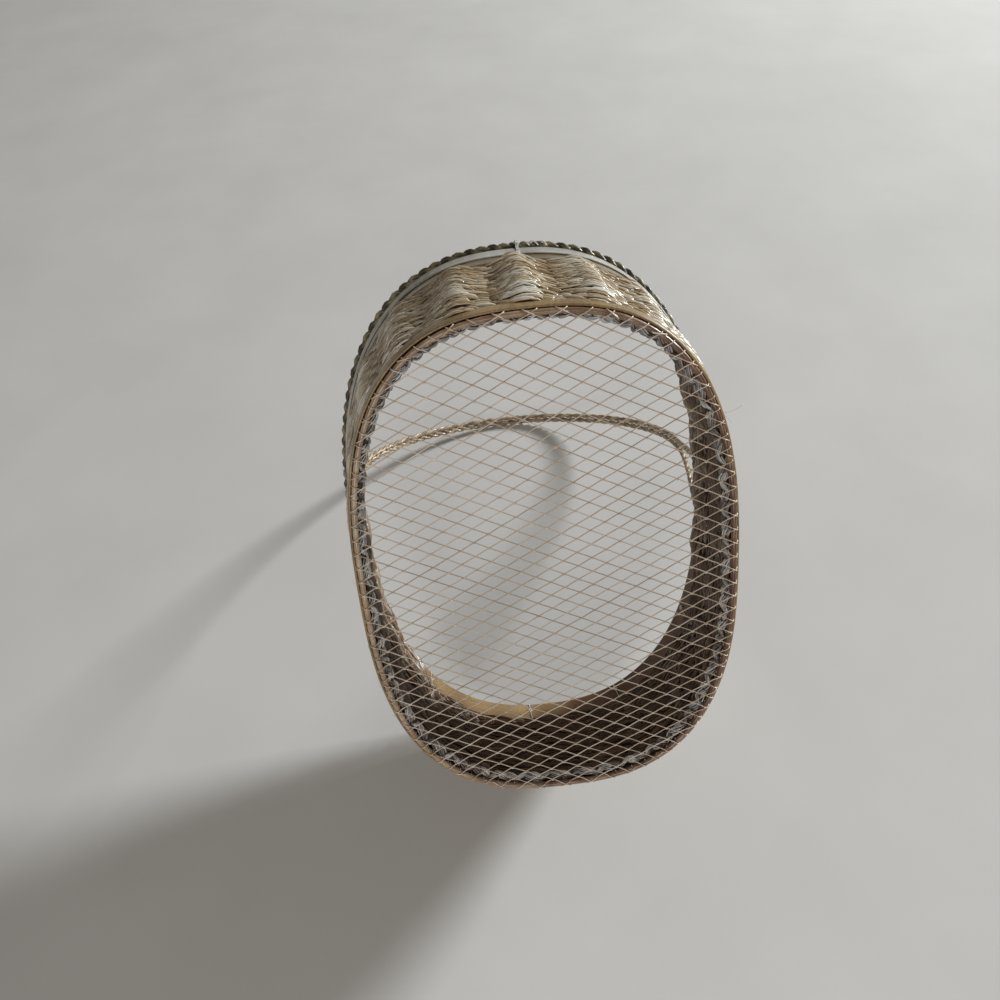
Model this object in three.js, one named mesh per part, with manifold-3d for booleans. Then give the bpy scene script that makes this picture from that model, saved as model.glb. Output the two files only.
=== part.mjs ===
// Oval harvest basket: a wire mesh bottom inside a rod ring, a wall woven round upright stakes,
// flat hoops at the base and the rim, a rope on the rim, and a fixed arched handle of two cords
// that each hold a stiff wire. Millimetres, +Z up: X is the width, Y is the length, and the
// origin lies on the ground under the middle of the base.
import * as THREE from 'three';
import { mergeGeometries, mergeVertices } from 'three/addons/utils/BufferGeometryUtils.js';
import Module from 'manifold-3d';

const wasm = await Module();
wasm.setup();

// Overall sizes, measured on the line of the stakes
const BASE_LENGTH = 228;
const BASE_WIDTH = 166;
const RIM_LENGTH = 270;
const RIM_WIDTH = 194;
const RIM_HEIGHT = 94;
const HANDLE_SPAN = 224;
const HANDLE_LEG_HEIGHT = 107;
const HANDLE_FORK_SHARE = 0.9;
const HANDLE_EASE_SHARE = 0.3;

// Shape of the oval: 2 is an ellipse, and higher is squarer
const BASE_SQUARENESS = 2.65;
const RIM_SQUARENESS = 2.4;

// Rods, ropes and wires
const RING_DIAMETER = 3;
const RING_FLAT_DEPTH = 0.5;
const STAKE_DIAMETER = 2.2;
const STAKE_COUNT = 24;
const ROPE_DIAMETER = 5.2;
const CORE_DIAMETER = 1.6;
const CORD_DIAMETER = 3.8;

// Flat hoops, and the lashing along the inside of the base
const HOOP_THICKNESS = 1.2;
const BASE_BAND_HEIGHT = 6;
const RIM_BAND_HEIGHT = 20;
const TRIM_THICKNESS = 0.9;
const TRIM_HEIGHT = 11;
const LASHING_THICKNESS = 4.2;

// Woven wall
const WEAVE_HOLLOW_THICKNESS = 6;
const WEAVE_RIB_THICKNESS = 11;

// Wire mesh bottom: diamond gaps between crossing wires
const MESH_PITCH_X = 26;
const MESH_PITCH_Y = 13;
const MESH_WIRE = 0.9;
const MESH_THICKNESS = 0.6;
const MESH_BORDER = 1.4;
const MESH_RAISE = 0.5;
const SMALLEST_GAP_AREA = 6;

// Clearances: between pieces that touch on the real basket, round each handle wire inside its
// cord, and from a handle wire's foot down to the lower edge of the rim hoops
const GAP = 0.3;
const CORE_CLEARANCE = 0.55;
const CORE_FOOT_CLEARANCE = 3;

// Facets
const SEGMENTS_PER_STAKE = 2;
const WALL_ROWS = 3;
const ROD_SIDES = 8;
const STAKE_SIDES = 6;
const HANDLE_STEPS = 40;
const LATHE_RADIUS = 100;
const GIRTH_DIVISIONS = 1040;
const HALVINGS = 40;

// Levels and offsets that follow from the sizes above. A cord's cut end leans with the wall, so
// its foot is raised until its lower edge clears the rim rope.
const ringRadius = RING_DIAMETER / 2;
const ringLevel = ringRadius - RING_FLAT_DEPTH;
const ringTop = ringLevel + ringRadius;
const bandBottom = ringTop + GAP;
const bandTop = bandBottom + BASE_BAND_HEIGHT;
const rimBandBottom = RIM_HEIGHT - RIM_BAND_HEIGHT;
const stakeRadius = STAKE_DIAMETER / 2;
const stakeFoot = ringTop + 2 * GAP;
const coreRadius = CORE_DIAMETER / 2;
const coreFoot = rimBandBottom + CORE_FOOT_CLEARANCE;
const hoopFace = Math.max(stakeRadius, coreRadius) + GAP;
const hoopBack = hoopFace + HOOP_THICKNESS;
const trimFace = hoopBack + GAP;
const ropeRadius = ROPE_DIAMETER / 2;
const ropeOffset = hoopFace + GAP + ropeRadius;
const ropeLevel = RIM_HEIGHT + GAP + ropeRadius;
const cordRadius = CORD_DIAMETER / 2;
const wallLean = (RIM_WIDTH - BASE_WIDTH) / 2 / (RIM_HEIGHT - ringLevel);
const cordFoot = ropeLevel + ropeRadius + GAP + cordRadius * Math.abs(wallLean);
const archRadius = HANDLE_SPAN / 2;
const forkHeight = HANDLE_FORK_SHARE * HANDLE_LEG_HEIGHT;
const forkLevel = RIM_HEIGHT + forkHeight;
const legEase = HANDLE_EASE_SHARE * forkHeight;
const shoulderLevel = RIM_HEIGHT + HANDLE_LEG_HEIGHT;
const segments = STAKE_COUNT * SEGMENTS_PER_STAKE;

// A point on the basket's oval. turn goes from 0 to 1 once round from +X towards +Y, and offset
// is measured outwards from the line of the stakes at that level.
function ovalPoint(turn, level, offset) {
  const rise = (level - ringLevel) / (RIM_HEIGHT - ringLevel);
  const power = 2 / THREE.MathUtils.lerp(BASE_SQUARENESS, RIM_SQUARENESS, rise);
  const halfWidth = THREE.MathUtils.lerp(BASE_WIDTH, RIM_WIDTH, rise) / 2 + offset;
  const halfLength = THREE.MathUtils.lerp(BASE_LENGTH, RIM_LENGTH, rise) / 2 + offset;
  const cosine = Math.cos(2 * Math.PI * turn);
  const sine = Math.sin(2 * Math.PI * turn);
  const x = halfWidth * Math.sign(cosine) * Math.abs(cosine) ** power;
  const y = halfLength * Math.sign(sine) * Math.abs(sine) ** power;
  return new THREE.Vector3(x, y, level);
}

// The wall's girth half way up, which spaces the stakes evenly along the wall
class Girth extends THREE.Curve {
  getPoint(t) {
    return ovalPoint(t, (bandTop + rimBandBottom) / 2, 0);
  }
}
const girth = new Girth();
girth.arcLengthDivisions = GIRTH_DIVISIONS;

function turnAt(share) {
  const wrapped = share - Math.floor(share);
  return girth.getUtoTmapping(wrapped);
}

// Only positions are kept, so that shared corners become one vertex
function weld(geometry) {
  const bare = geometry.clone();
  bare.deleteAttribute('normal');
  bare.deleteAttribute('uv');
  return mergeVertices(bare);
}

// A closed ring: the section, a list of (offset, level) points that runs up its outer side, is
// turned on a lathe, and the lathe's circle is then bent to the oval. levelOf says at which
// level the oval is taken, and swell adds to the offset round the wall.
function ovalRing(section, levelOf, swell = () => 0) {
  const profile = section.map((point) => new THREE.Vector2(LATHE_RADIUS + point.x, point.y));
  const geometry = weld(new THREE.LatheGeometry([...profile, profile[0]], segments));
  const position = geometry.getAttribute('position');
  for (let i = 0; i < position.count; i += 1) {
    const across = position.getX(i);
    const level = position.getY(i);
    const along = position.getZ(i);
    const share = Math.atan2(across, along) / (2 * Math.PI);
    const offset = Math.hypot(across, along) - LATHE_RADIUS;
    const bent = ovalPoint(turnAt(share), levelOf(level), offset + swell(share, offset));
    position.setXYZ(i, bent.x, bent.y, level);
  }
  return geometry;
}

function ownLevel(level) {
  return level;
}

function circlePoints(radius, sides) {
  const points = [];
  for (let i = 0; i < sides; i += 1) {
    const angle = (2 * Math.PI * (i + 0.5)) / sides;
    points.push(new THREE.Vector2(radius * Math.cos(angle), radius * Math.sin(angle)));
  }
  return points;
}

function rectangle(low, high, bottom, top) {
  return [
    new THREE.Vector2(high, bottom),
    new THREE.Vector2(high, top),
    new THREE.Vector2(low, top),
    new THREE.Vector2(low, bottom),
  ];
}

// Manifold joins and cuts
function toSolid(geometry) {
  const welded = weld(geometry);
  return new wasm.Manifold(new wasm.Mesh({
    numProp: 3,
    vertProperties: new Float32Array(welded.getAttribute('position').array),
    triVerts: new Uint32Array(welded.getIndex().array),
  }));
}

function toGeometry(solid) {
  const mesh = solid.getMesh();
  const geometry = new THREE.BufferGeometry();
  geometry.setAttribute('position', new THREE.BufferAttribute(mesh.vertProperties, 3));
  geometry.setIndex(new THREE.BufferAttribute(mesh.triVerts, 1));
  return geometry;
}

// Materials, with one clone for each mesh
const looks = {
  rattan: new THREE.MeshStandardMaterial({ color: 0x7d5540, roughness: 0.45 }),
  cane: new THREE.MeshStandardMaterial({ color: 0xa9803f, roughness: 0.5 }),
  paleCane: new THREE.MeshStandardMaterial({ color: 0xc9bfa8, roughness: 0.35 }),
  straw: new THREE.MeshStandardMaterial({ color: 0xa58a5c, roughness: 0.55 }),
  greyStraw: new THREE.MeshStandardMaterial({ color: 0x80796a, roughness: 0.45 }),
  rope: new THREE.MeshStandardMaterial({ color: 0x4c4630, roughness: 0.7 }),
  cord: new THREE.MeshStandardMaterial({ color: 0x96703f, roughness: 0.65 }),
  wire: new THREE.MeshStandardMaterial({ color: 0xbca489, roughness: 0.4, metalness: 0.8 }),
  core: new THREE.MeshStandardMaterial({ color: 0x77777a, roughness: 0.45, metalness: 1 }),
};

const basket = new THREE.Group();

function addPiece(parent, name, geometry, look) {
  const mesh = new THREE.Mesh(geometry, looks[look].clone());
  mesh.name = name;
  parent.add(mesh);
  return mesh;
}

// Base ring: a round rod, cut flat underneath where the basket stands
function baseRing() {
  const flat = RING_FLAT_DEPTH - ringRadius;
  const section = circlePoints(ringRadius, ROD_SIDES)
    .map((point) => new THREE.Vector2(point.x, ringLevel + Math.max(point.y, flat)));
  return ovalRing(section, () => ringLevel);
}

// Wire mesh bottom: an oval plate with diamond gaps, cut off along its border wire
function ovalPlate(offset, thickness) {
  const points = [];
  for (let i = 0; i < segments; i += 1) {
    const point = ovalPoint(turnAt(i / segments), ringLevel, offset);
    points.push(new THREE.Vector2(point.x, point.y));
  }
  return new THREE.ExtrudeGeometry(new THREE.Shape(points), { depth: thickness, bevelEnabled: false });
}

function diamond(x, y, thickness) {
  const slant = Math.hypot(MESH_PITCH_X, MESH_PITCH_Y);
  const reachX = (MESH_PITCH_X - (MESH_WIRE * slant) / MESH_PITCH_Y) / 2;
  const reachY = (MESH_PITCH_Y - (MESH_WIRE * slant) / MESH_PITCH_X) / 2;
  const corners = [[reachX, 0], [0, reachY], [-reachX, 0], [0, -reachY]];
  const points = corners.map(([dx, dy]) => new THREE.Vector2(x + dx, y + dy));
  return new THREE.ExtrudeGeometry(new THREE.Shape(points), { depth: thickness, bevelEnabled: false });
}

function wireMesh() {
  const edge = -ringRadius - GAP;
  const cutDepth = 3 * MESH_THICKNESS;
  const rows = Math.ceil(BASE_LENGTH / MESH_PITCH_Y);
  const columns = Math.ceil(BASE_WIDTH / MESH_PITCH_X);
  const diamonds = [];
  for (let row = -rows; row <= rows; row += 1) {
    for (let column = -columns; column <= columns; column += 1) {
      const shift = row % 2 === 0 ? 0 : 0.5;
      diamonds.push(diamond((column + shift) * MESH_PITCH_X, (row * MESH_PITCH_Y) / 2, cutDepth));
    }
  }
  const inside = toSolid(ovalPlate(edge - MESH_BORDER, cutDepth));
  const gaps = toSolid(mergeGeometries(diamonds)).intersect(inside).decompose()
    .filter((gap) => gap.volume() > SMALLEST_GAP_AREA * cutDepth)
    .reduce((sum, gap) => sum.add(gap))
    .translate([0, 0, -MESH_THICKNESS]);
  return toGeometry(toSolid(ovalPlate(edge, MESH_THICKNESS)).subtract(gaps));
}

// Flat hoop that leans with the wall. side is 1 outside the stakes and -1 inside them.
function flatHoop(side, face, thickness, bottom, top) {
  const near = side * face;
  const far = side * (face + thickness);
  return ovalRing(rectangle(Math.min(near, far), Math.max(near, far), bottom, top), ownLevel);
}

// Upright stakes
function stakeAxis(index) {
  const turn = turnAt(index / STAKE_COUNT);
  return new THREE.LineCurve3(ovalPoint(turn, stakeFoot, 0), ovalPoint(turn, RIM_HEIGHT, 0));
}

function uprightOnAxis(mesh, axis) {
  const up = new THREE.Vector3(0, 1, 0);
  mesh.position.copy(axis.getPoint(0.5));
  mesh.quaternion.setFromUnitVectors(up, axis.getTangent(0.5));
  mesh.updateMatrix();
  return mesh;
}

function rodOnAxis(radius, axis) {
  return new THREE.CylinderGeometry(radius, radius, axis.getLength(), STAKE_SIDES);
}

// Woven wall: swells out over each stake, and each stake passes through it in a bore
function wovenWall() {
  const bottom = bandTop + GAP;
  const top = rimBandBottom - GAP;
  const half = WEAVE_HOLLOW_THICKNESS / 2;
  const swellHeight = (WEAVE_RIB_THICKNESS - WEAVE_HOLLOW_THICKNESS) / 2;
  const section = [];
  for (let row = 0; row <= WALL_ROWS; row += 1) {
    section.push(new THREE.Vector2(half, THREE.MathUtils.lerp(bottom, top, row / WALL_ROWS)));
  }
  for (let row = WALL_ROWS; row >= 0; row -= 1) {
    section.push(new THREE.Vector2(-half, THREE.MathUtils.lerp(bottom, top, row / WALL_ROWS)));
  }
  const swell = (share, offset) => (
    Math.sign(offset) * swellHeight * (0.5 + 0.5 * Math.cos(2 * Math.PI * STAKE_COUNT * share))
  );
  let wall = toSolid(ovalRing(section, ownLevel, swell));
  const boreRadius = (stakeRadius + GAP) / Math.cos(Math.PI / STAKE_SIDES);
  for (let i = 0; i < STAKE_COUNT; i += 1) {
    const axis = stakeAxis(i);
    const bore = uprightOnAxis(new THREE.Mesh(rodOnAxis(boreRadius, axis)), axis);
    wall = wall.subtract(toSolid(bore.geometry.clone().applyMatrix4(bore.matrix)));
  }
  return toGeometry(wall);
}

// Rim rope: a plain round cord that lies on the outer hoop and its trim
function rimRope() {
  const section = circlePoints(ropeRadius, ROD_SIDES)
    .map((point) => new THREE.Vector2(ropeOffset + point.x, ropeLevel + point.y));
  return ovalRing(section, () => RIM_HEIGHT);
}

// Handle: each cord starts between two stakes, meets its twin at the fork and arches over with it.
// side is -1 for the front cord and 1 for the back one. The route goes from one foot to the other
// and its second half mirrors the first.
class HandleRoute extends THREE.Curve {
  constructor(side) {
    super();
    const footTurn = turnAt(side / (2 * STAKE_COUNT));
    const foot = ovalPoint(footTurn, coreFoot, 0);
    const rim = ovalPoint(footTurn, RIM_HEIGHT, 0);
    const fork = new THREE.Vector3(archRadius, side * (cordRadius + GAP / 2), forkLevel);
    const lean = rim.clone().sub(foot).setLength(legEase);
    const legStart = rim.clone().add(lean);
    const legEnd = fork.clone().setZ(forkLevel - legEase);
    this.shoulder = fork.clone().setZ(shoulderLevel);
    this.tuck = new THREE.LineCurve3(foot, rim);
    this.leg = new THREE.CubicBezierCurve3(rim, legStart, legEnd, fork);
    this.upright = new THREE.LineCurve3(fork, this.shoulder);
  }

  getPoint(t) {
    const share = 4 * (1 - Math.abs(2 * t - 1));
    const point = this.halfPoint(share);
    point.x *= t > 0.5 ? -1 : 1;
    return point;
  }

  // share is below 1 in the tuck, from 1 to 2 up the leg to the fork, from 2 to 3 up to the shoulder
  // and from 3 to 4 round to the crown
  halfPoint(share) {
    if (share < 1) {
      return this.tuck.getPoint(share);
    }
    if (share < 2) {
      return this.leg.getPoint(share - 1);
    }
    if (share < 3) {
      return this.upright.getPoint(share - 2);
    }
    const angle = (Math.PI / 2) * (share - 3);
    const rise = archRadius * Math.sin(angle);
    return new THREE.Vector3(archRadius * Math.cos(angle), this.shoulder.y, shoulderLevel + rise);
  }
}

// The part of a route between two of its shares
class Stretch extends THREE.Curve {
  constructor(route, start, end) {
    super();
    this.route = route;
    this.start = start;
    this.end = end;
  }

  getPoint(t) {
    return this.route.getPointAt(THREE.MathUtils.lerp(this.start, this.end, t));
  }
}

function shareAtLevel(route, level) {
  let low = 0;
  let high = 0.5;
  for (let i = 0; i < HALVINGS; i += 1) {
    const middle = (low + high) / 2;
    if (route.getPointAt(middle).z < level) {
      low = middle;
    } else {
      high = middle;
    }
  }
  return high;
}

function handleCore(side) {
  const section = new THREE.Shape(circlePoints(coreRadius, STAKE_SIDES));
  const options = { steps: HANDLE_STEPS, extrudePath: new HandleRoute(side) };
  return new THREE.ExtrudeGeometry(section, options);
}

function handleCord(side) {
  const route = new HandleRoute(side);
  const start = shareAtLevel(route, cordFoot);
  const section = new THREE.Shape(circlePoints(cordRadius, ROD_SIDES));
  section.holes.push(new THREE.Path(circlePoints(coreRadius + CORE_CLEARANCE, STAKE_SIDES)));
  const options = { steps: HANDLE_STEPS, extrudePath: new Stretch(route, start, 1 - start) };
  return new THREE.ExtrudeGeometry(section, options);
}

// Base
const base = new THREE.Group();
basket.add(base);
addPiece(base, 'base_ring', baseRing(), 'rattan');
addPiece(base, 'wire_mesh', wireMesh(), 'wire').position.z = MESH_RAISE;
addPiece(base, 'base_band', flatHoop(1, hoopFace, HOOP_THICKNESS, bandBottom, bandTop), 'cane');
addPiece(base, 'base_lashing', flatHoop(-1, hoopFace, LASHING_THICKNESS, bandBottom, bandTop), 'greyStraw');

// Wall
const wall = new THREE.Group();
basket.add(wall);
addPiece(wall, 'woven_wall', wovenWall(), 'straw');
for (let i = 0; i < STAKE_COUNT; i += 1) {
  const name = `stake_${String(i + 1).padStart(2, '0')}`;
  const axis = stakeAxis(i);
  uprightOnAxis(addPiece(wall, name, rodOnAxis(stakeRadius, axis), 'rattan'), axis);
}

// Rim
const rim = new THREE.Group();
const trimBottom = RIM_HEIGHT - TRIM_HEIGHT;
basket.add(rim);
addPiece(rim, 'rim_outer_hoop', flatHoop(1, hoopFace, HOOP_THICKNESS, rimBandBottom, RIM_HEIGHT), 'cane');
addPiece(rim, 'rim_inner_hoop', flatHoop(-1, hoopFace, HOOP_THICKNESS, rimBandBottom, RIM_HEIGHT), 'cane');
addPiece(rim, 'rim_trim', flatHoop(1, trimFace, TRIM_THICKNESS, trimBottom, RIM_HEIGHT), 'paleCane');
addPiece(rim, 'rim_rope', rimRope(), 'rope');

// Handle
const handle = new THREE.Group();
basket.add(handle);
for (const [label, side] of [['front', -1], ['back', 1]]) {
  addPiece(handle, `handle_core_${label}`, handleCore(side), 'core');
  addPiece(handle, `handle_cord_${label}`, handleCord(side), 'cord');
}

export default basket;
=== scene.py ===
# Harvest basket: its looks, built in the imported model's own frame. X is the basket's width, Y its
# length and Z is up. Shapes are worked out in millimetres, and turned into metres as each mesh is made.
import math
from collections import namedtuple

import bpy
import numpy as np
from mathutils import Matrix, Vector


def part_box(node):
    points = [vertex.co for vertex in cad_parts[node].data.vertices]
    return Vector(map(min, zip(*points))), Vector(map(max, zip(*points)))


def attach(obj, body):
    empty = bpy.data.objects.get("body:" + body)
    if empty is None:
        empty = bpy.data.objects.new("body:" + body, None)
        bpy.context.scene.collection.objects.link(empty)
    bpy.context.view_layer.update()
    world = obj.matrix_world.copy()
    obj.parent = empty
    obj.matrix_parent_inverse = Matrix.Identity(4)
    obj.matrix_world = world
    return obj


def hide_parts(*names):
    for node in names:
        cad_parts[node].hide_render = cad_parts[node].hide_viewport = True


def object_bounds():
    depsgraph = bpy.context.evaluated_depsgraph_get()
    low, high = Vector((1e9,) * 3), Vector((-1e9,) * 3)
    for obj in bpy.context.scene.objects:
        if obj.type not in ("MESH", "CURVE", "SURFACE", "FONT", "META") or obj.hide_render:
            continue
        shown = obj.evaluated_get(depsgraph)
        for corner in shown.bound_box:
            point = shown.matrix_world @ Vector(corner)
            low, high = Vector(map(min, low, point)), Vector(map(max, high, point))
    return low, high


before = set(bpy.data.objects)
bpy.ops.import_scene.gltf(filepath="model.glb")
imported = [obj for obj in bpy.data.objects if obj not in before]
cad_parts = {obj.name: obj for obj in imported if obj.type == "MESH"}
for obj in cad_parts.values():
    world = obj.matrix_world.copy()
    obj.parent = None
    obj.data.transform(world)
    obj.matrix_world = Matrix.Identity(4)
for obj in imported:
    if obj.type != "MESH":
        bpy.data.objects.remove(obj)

cad_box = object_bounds()
MM = 0.001
TAU = 2 * math.pi
UP = np.array([0, 0, 1.0])
random = np.random.default_rng(20)

# Sizes that the frame holds, in millimetres


def node_box(node):
    """The lowest and the highest corner of a CAD node."""
    return [np.array(corner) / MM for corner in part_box(node)]


RING_HIGH = node_box("base_ring")[1]
BAND_LOW, BAND_HIGH = node_box("base_band")
LASHING_LOW = node_box("base_lashing")[0]
WALL_LOW, WALL_HIGH = node_box("woven_wall")
RIM_LOW, RIM_HIGH = node_box("rim_outer_hoop")
TRIM_LOW, TRIM_HIGH = node_box("rim_trim")
ROPE_LOW, ROPE_HIGH = node_box("rim_rope")
STAKE_COUNT = sum(name.startswith("stake_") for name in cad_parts)
STAKE_FOOT = node_box("stake_01")[0][2]

# Shape of the oval, and offsets from the line of the stakes
BASE_SQUARENESS = 2.65
RIM_SQUARENESS = 2.4
SHAPE_FOOT = 1.0
HOOP_FACE = 1.4
HOOP_BACK = 2.6
TRIM_FACE = 2.8
TRIM_BACK = 3.8

# Flat strips: points round the basket, their crown, how far they waver, and the base one's overhang
HOOP_STEPS = 208
HOOP_CROWN = 0.2
HOOP_SWAY = 0.04
HOOP_ROCK = 0.16
BAND_OVERHANG = 0.9
TRIM_PROUD = 0.1

# Base rod, redder towards +X and paler towards -X, partly its own colour and partly painted highlight, and
# the wire mesh whose ends are wrapped over it
RING_RADIUS = 1.25
RING_LEVEL = 1.3
ROD_STEPS = 676
ROD_TINT_AND_PAINTED_HIGHLIGHT = 0.35
WRAP_PINCH = 0.1
WRAP_WIDTH = 1.1
WRAP_SLANT = 2.2
WRAP_START = -0.72 * math.pi
WRAP_END = 1.1 * math.pi
WRAP_SEARCH = 0.04
MESH_WIRE_RADIUS = 0.25
MESH_COLUMNS = 13
MESH_ROWS = 35
MESH_NUMBERS = range(-40, 41)
MESH_LEVEL = 0.7
MESH_WAVE = 0.15
MESH_STEP = 2.0
MESH_END_GAP = 2.4
KNOT_SIZE = 0.68
KNOT_BOW = 1.3
KNOT_MARGIN = 3

# Braid along the inside of the base. Its ways across it and out of it are (offset, level) steps
BRAID_PITCH = 4.4
BRAID_STRAWS = 4
BRAID_STRAW_RADIUS = 0.62
BRAID_OFFSET = -2.2
BRAID_LEVEL = LASHING_LOW[2] + 2.6
BRAID_ACROSS = np.array([0.78, -0.62])
BRAID_DEPTH = np.array([-0.62, -0.78])
BRAID_SWING = 1.9
BRAID_SPREAD = 1.25
BRAID_BULGE = 1.7
BRAID_CORE_RADIUS = 1.3
BRAID_CORE_STEPS = 260

# Woven wall: rows of short straw floats that overlap, longer where they cross a stake
STAKE_RADIUS = 1.1
STAKE_TAPER = 0.4
ROW_COUNT = 11
ROW_STEP = (WALL_HIGH[2] - WALL_LOW[2]) / ROW_COUNT
WEAVE_PIECES = ((0, 3), (3, 6), (6, 9), (9, 11))
WEAVE_HALF = 2.3
WEAVE_CORE_HALF = 1.3
FLOATS_PER_STAKE = 4
FLOAT_EASE = 0.45
FLOAT_LAP = 0.84
FLOAT_DIP = 1.25
END_SWELL = 5.7
SIDE_SWELL = 1.0
END_REACH = 0.085
INNER_SWELL = 2.0
UPPER_START = 0.55
LOWER_END = 0.3
TOP_ROW_LIFT = 7.0
BOTTOM_ROW_DROP = 3.0
# Painted light and shade on the outer face: straw over the stakes is painted paler, straw in the valleys
# between them darker.
VALLEY_PAINTED_SHADE = 0.3

# The wall's two faces: side, straws in a float, their half width and flatness, and points along each
Face = namedtuple("Face", "side straws width flatness points")
OUTER_FACE = Face(side=1, straws=6, width=0.62, flatness=0.9, points=6)
INNER_FACE = Face(side=-1, straws=3, width=1.05, flatness=0.75, points=5)

# Stretches of the inner hoop, as shares round the basket: bare of folded straw, and darkened with painted
# shade
BARE_START = 0.085
BARE_END = 0.34
FOLD_EASE = 0.045
FOLD_HEIGHT = 19.0
FOLD_OFFSET = 0.9
FOLD_WIDENING = 0.8
FOLD_PALENESS = 0.5
PAINTED_SHADE_START = 0.03
PAINTED_SHADE_END = 0.275
PAINTED_SHADE_DEPTH = 0.6

# Straw in the slot between the rim hoops: each strand's offset, and its depth under the rim's top
FILLER_STRANDS = ((-0.75, 2.4), (0.75, 2.2), (0.0, 1.3))
FILLER_STEPS = 520
FILLER_RADIUS = 0.75

# Rope, thread and handle
ROPE_RADIUS = 2.15
ROPE_OFFSET = 4.3
ROPE_PITCH = 12.2
ROPE_STEPS_PER_TURN = 11
PLY_SHARE = 0.58
PLY_SIDES = 15
PLY_LOBES = 5
PLY_LOBE_DEPTH = 0.09
THREAD_RADIUS = 0.25
THREAD_STEPS = 60
SEAM = 0.7555
CORD_RADIUS = 1.95
CORD_PITCH = 15.0
CORD_SPREAD = 1.8
CORD_STEPS = 460
CORD_TUCK = 8.0
CORD_NECK_HEIGHT = 7
CORD_NECK_SHARE = 0.6
CORE_RADIUS = 0.5
CORE_STEPS = 200
CORE_TUCK = 15.0
HANDLE_SPAN = 224
HANDLE_LEG_HEIGHT = 107
HANDLE_FORK_SHARE = 0.9
HANDLE_EASE_SHARE = 0.3
STRAY_COUNT = 30

# Camera and floor: the basket lies upside down, propped on its rim and its handle's crown
CAMERA_PLACE = (-0.0247, -0.1386, -0.2882)
CAMERA_RIGHT = (0.9944, 0.0922, -0.0521)
CAMERA_UP = (0.1042, -0.9398, 0.3255)
CAMERA_LENS = 25.77
CAMERA_SENSOR = 36
FLOOR_UP = (0.0, -0.8423, -0.539)
FLOOR_POINT = (0.0, 0.1418, 0.0985)
FLOOR_SIZE = 6.0


# Oval of the basket


def lerp(a, b, t):
    return a + (b - a) * t


def smooth_step(value):
    """0 below 0, 1 above 1, and an eased rise between."""
    value = np.clip(value, 0, 1)
    return value ** 2 * (3 - 2 * value)


def oval_at_turn(turn, level, offset):
    """A point on the basket's oval: turn runs from 0 to 1 by the angle of the oval's own formula."""
    rise = (level - BAND_HIGH[2]) / (RIM_HIGH[2] - BAND_HIGH[2])
    climb = (level - SHAPE_FOOT) / (RIM_HIGH[2] - SHAPE_FOOT)
    power = 2 / lerp(BASE_SQUARENESS, RIM_SQUARENESS, climb)
    half_x = lerp(BAND_HIGH[0], RIM_HIGH[0], rise) - HOOP_BACK + offset
    half_y = lerp(BAND_HIGH[1], RIM_HIGH[1], rise) - HOOP_BACK + offset
    cosine, sine = np.cos(TAU * turn), np.sin(TAU * turn)
    x = half_x * np.sign(cosine) * np.abs(cosine) ** power
    y = half_y * np.sign(sine) * np.abs(sine) ** power
    return np.stack([x, y, level + 0 * x], -1)


GIRTH_TURNS = np.linspace(0, 1, 8321)
girth = oval_at_turn(GIRTH_TURNS, (BAND_HIGH[2] + RIM_LOW[2]) / 2, 0.0)
GIRTH_LENGTHS = np.concatenate([[0], np.cumsum(np.linalg.norm(np.diff(girth, axis=0), axis=1))])
GIRTH = GIRTH_LENGTHS[-1]

# About how long the rope and the braid are, against the girth half way up the wall
ROPE_GIRTH = 1.1 * GIRTH
BRAID_GIRTH = 0.93 * GIRTH


def oval(share, level, offset=0.0):
    """A point on the basket's oval: share runs from 0 to 1 once round, evenly along the wall."""
    turn = np.interp(np.mod(share, 1.0) * GIRTH, GIRTH_LENGTHS, GIRTH_TURNS)
    return oval_at_turn(turn, level, offset)


def unit(vectors):
    return vectors / np.linalg.norm(vectors, axis=-1, keepdims=True)


def outward(share, level):
    """The horizontal way out of the wall at a place on it."""
    return unit(oval(share, level, 1.0) - oval(share, level, -1.0))


def round_shares(count):
    """Even shares, once round the basket."""
    return np.arange(count) / count


def wander(share, size, waves=(3, 7, 13, 29)):
    """A smooth, seeded wobble round the basket, of about the given size."""
    total = 0 * share
    for wave in waves:
        total = total + np.sin(TAU * (wave * share + random.random())) * random.uniform(0.4, 1.0)
    return size * total / math.sqrt(len(waves))


# Meshes


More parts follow.
